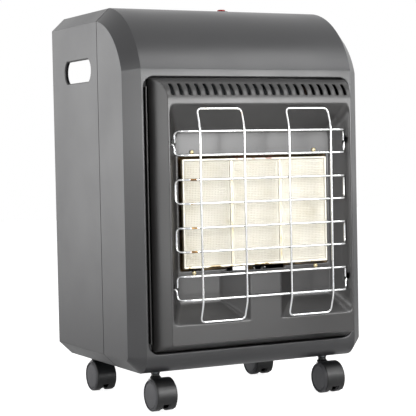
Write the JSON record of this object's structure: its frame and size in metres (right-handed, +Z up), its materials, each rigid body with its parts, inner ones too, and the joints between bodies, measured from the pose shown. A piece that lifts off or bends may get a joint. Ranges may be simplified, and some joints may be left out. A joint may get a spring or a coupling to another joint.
{
  "type": "portable gas cabinet heater",
  "caption": "Free-standing gas cabinet heater on swivel castors, with ceramic plaque burners behind a wire guard and a bottle bay at the back.",
  "frame": {"origin": "on the floor, under the centre of the bounding box", "axes": "+Z up, +Y towards the back of the heater, +X to the right seen from the front"},
  "size_m": [0.41, 0.3576, 0.6192],
  "materials": {
    "coat": "satin powder coat",
    "panel_coat": "satin powder coat",
    "zinc": "zinc plated",
    "burner_steel": "satin",
    "plaque_ceramic": "dry unglazed ceramic",
    "chrome_wire": "bright plated",
    "brass": "turned",
    "copper": "drawn tube",
    "black_plastic": "fine grain",
    "grey_plastic": "satin",
    "red_plastic": "moulded",
    "white_ceramic": "glazed ceramic",
    "lead_rubber": "silicone sleeve"
  },
  "bodies": {
    "cabinet": {"front_casing": "coat", "rear_cover": "coat", "front_panel": "panel_coat", "panel_pivot_left": "zinc", "panel_pivot_right": "zinc", "base_tray": "zinc", "heat_shield": "zinc", "gas_rail": "zinc", "pilot_bracket": "zinc", "pilot_burner": "zinc", "castor_stem_front_left": "zinc", "castor_stem_front_right": "zinc", "castor_stem_rear_left": "zinc", "castor_stem_rear_right": "zinc", "burner_frame": "burner_steel", "burner_left": "burner_steel", "burner_centre": "burner_steel", "burner_right": "burner_steel", "plaque_left": "plaque_ceramic", "plaque_centre": "plaque_ceramic", "plaque_right": "plaque_ceramic", "wire_guard": "chrome_wire", "injector_left": "brass", "injector_centre": "brass", "injector_right": "brass", "frame_screw_upper_left": "brass", "frame_screw_upper_right": "brass", "frame_screw_lower_left": "brass", "frame_screw_lower_right": "brass", "gas_valve": "brass", "hose_tail": "brass", "feed_pipe": "copper", "pilot_pipe": "copper", "thermocouple_lead": "copper", "control_panel": "black_plastic", "igniter_body": "black_plastic", "spark_electrode": "white_ceramic", "thermocouple": "white_ceramic", "spark_lead": "lead_rubber"},
    "rear_panel": {"rear_panel": "coat"},
    "valve_press": {"valve_plunger": "zinc"},
    "knob": {"valve_spindle": "zinc", "control_knob": "black_plastic"},
    "igniter_button": {"igniter_button": "red_plastic"},
    "castor_front_left": {"castor_hood_front_left": "black_plastic", "castor_axle_front_left": "zinc"},
    "wheel_front_left_outer": {"castor_wheel_front_left_outer": "grey_plastic"},
    "wheel_front_left_inner": {"castor_wheel_front_left_inner": "grey_plastic"},
    "castor_front_right": {"castor_hood_front_right": "black_plastic", "castor_axle_front_right": "zinc"},
    "wheel_front_right_outer": {"castor_wheel_front_right_outer": "grey_plastic"},
    "wheel_front_right_inner": {"castor_wheel_front_right_inner": "grey_plastic"},
    "castor_rear_left": {"castor_hood_rear_left": "black_plastic", "castor_axle_rear_left": "zinc"},
    "wheel_rear_left_outer": {"castor_wheel_rear_left_outer": "grey_plastic"},
    "wheel_rear_left_inner": {"castor_wheel_rear_left_inner": "grey_plastic"},
    "castor_rear_right": {"castor_hood_rear_right": "black_plastic", "castor_axle_rear_right": "zinc"},
    "wheel_rear_right_outer": {"castor_wheel_rear_right_outer": "grey_plastic"},
    "wheel_rear_right_inner": {"castor_wheel_rear_right_inner": "grey_plastic"}
  },
  "joints": [
    {"name": "rear_panel_tilt", "type": "hinge", "parent": "cabinet", "child": "rear_panel", "pos_m": [0, 0.1749, 0.081], "axis": [-1, 0, 0], "range_deg": [0, 80]},
    {"name": "knob_press", "type": "slide", "parent": "cabinet", "child": "valve_press", "axis": [0, 0, -1], "range_m": [0, 0.003], "stiffness_N_per_m": 2000, "springref_m": -0.002},
    {"name": "knob_turn", "type": "hinge", "parent": "valve_press", "child": "knob", "pos_m": [0.095, 0.0386, 0.6], "axis": [0, 0, 1], "range_deg": [0, 225]},
    {"name": "igniter_press", "type": "slide", "parent": "cabinet", "child": "igniter_button", "axis": [0, 0, -1], "range_m": [0, 0.0028], "stiffness_N_per_m": 1200, "springref_m": -0.002},
    {"name": "castor_swivel_front_left", "type": "hinge", "parent": "cabinet", "child": "castor_front_left", "pos_m": [-0.149, -0.0824, 0.04], "axis": [0, 0, 1], "continuous": true},
    {"name": "wheel_spin_front_left_outer", "type": "hinge", "parent": "castor_front_left", "child": "wheel_front_left_outer", "pos_m": [-0.161, -0.0994, 0.024], "axis": [1, 0, 0], "continuous": true},
    {"name": "wheel_spin_front_left_inner", "type": "hinge", "parent": "castor_front_left", "child": "wheel_front_left_inner", "pos_m": [-0.137, -0.0994, 0.024], "axis": [1, 0, 0], "continuous": true},
    {"name": "castor_swivel_front_right", "type": "hinge", "parent": "cabinet", "child": "castor_front_right", "pos_m": [0.149, -0.0824, 0.04], "axis": [0, 0, 1], "continuous": true},
    {"name": "wheel_spin_front_right_outer", "type": "hinge", "parent": "castor_front_right", "child": "wheel_front_right_outer", "pos_m": [0.161, -0.0994, 0.024], "axis": [1, 0, 0], "continuous": true},
    {"name": "wheel_spin_front_right_inner", "type": "hinge", "parent": "castor_front_right", "child": "wheel_front_right_inner", "pos_m": [0.137, -0.0994, 0.024], "axis": [1, 0, 0], "continuous": true},
    {"name": "castor_swivel_rear_left", "type": "hinge", "parent": "cabinet", "child": "castor_rear_left", "pos_m": [-0.149, 0.1456, 0.04], "axis": [0, 0, 1], "continuous": true},
    {"name": "wheel_spin_rear_left_outer", "type": "hinge", "parent": "castor_rear_left", "child": "wheel_rear_left_outer", "pos_m": [-0.161, 0.1286, 0.024], "axis": [1, 0, 0], "continuous": true},
    {"name": "wheel_spin_rear_left_inner", "type": "hinge", "parent": "castor_rear_left", "child": "wheel_rear_left_inner", "pos_m": [-0.137, 0.1286, 0.024], "axis": [1, 0, 0], "continuous": true},
    {"name": "castor_swivel_rear_right", "type": "hinge", "parent": "cabinet", "child": "castor_rear_right", "pos_m": [0.149, 0.1456, 0.04], "axis": [0, 0, 1], "continuous": true},
    {"name": "wheel_spin_rear_right_outer", "type": "hinge", "parent": "castor_rear_right", "child": "wheel_rear_right_outer", "pos_m": [0.161, 0.1286, 0.024], "axis": [1, 0, 0], "continuous": true},
    {"name": "wheel_spin_rear_right_inner", "type": "hinge", "parent": "castor_rear_right", "child": "wheel_rear_right_inner", "pos_m": [0.137, 0.1286, 0.024], "axis": [1, 0, 0], "continuous": true}
  ]
}
